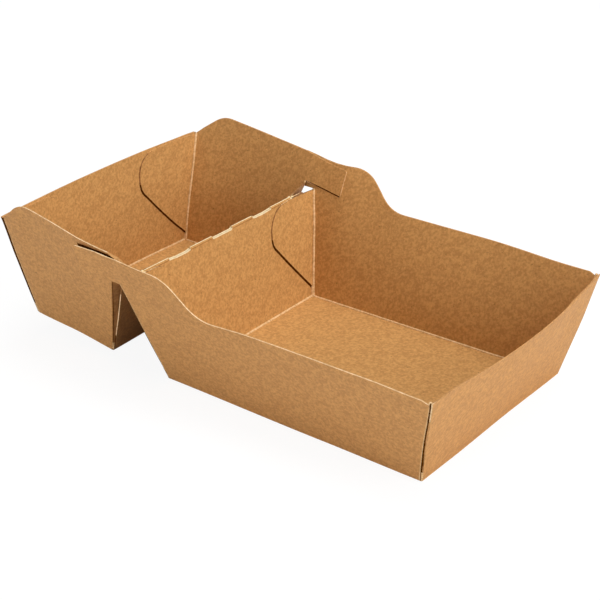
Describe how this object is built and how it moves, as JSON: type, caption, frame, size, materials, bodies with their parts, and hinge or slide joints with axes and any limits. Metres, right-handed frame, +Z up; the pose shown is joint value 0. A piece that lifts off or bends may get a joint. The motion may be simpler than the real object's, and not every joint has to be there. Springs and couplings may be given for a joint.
{
  "type": "paper fries tray",
  "caption": "Folded kraft board fries tray with a large fries compartment, a raised sauce compartment and a hollow ridge between them.",
  "frame": {"origin": "middle of the tray's bounding box, on the plane that the fries floor rests on", "axes": "+X along the tray from the sauce compartment to the fries compartment, +Y across it, +Z up"},
  "size_m": [0.2022, 0.121, 0.0615],
  "materials": {
    "kraft_board": "matte"
  },
  "bodies": {
    "root": {"tray": "kraft_board"}
  },
  "joints": []
}
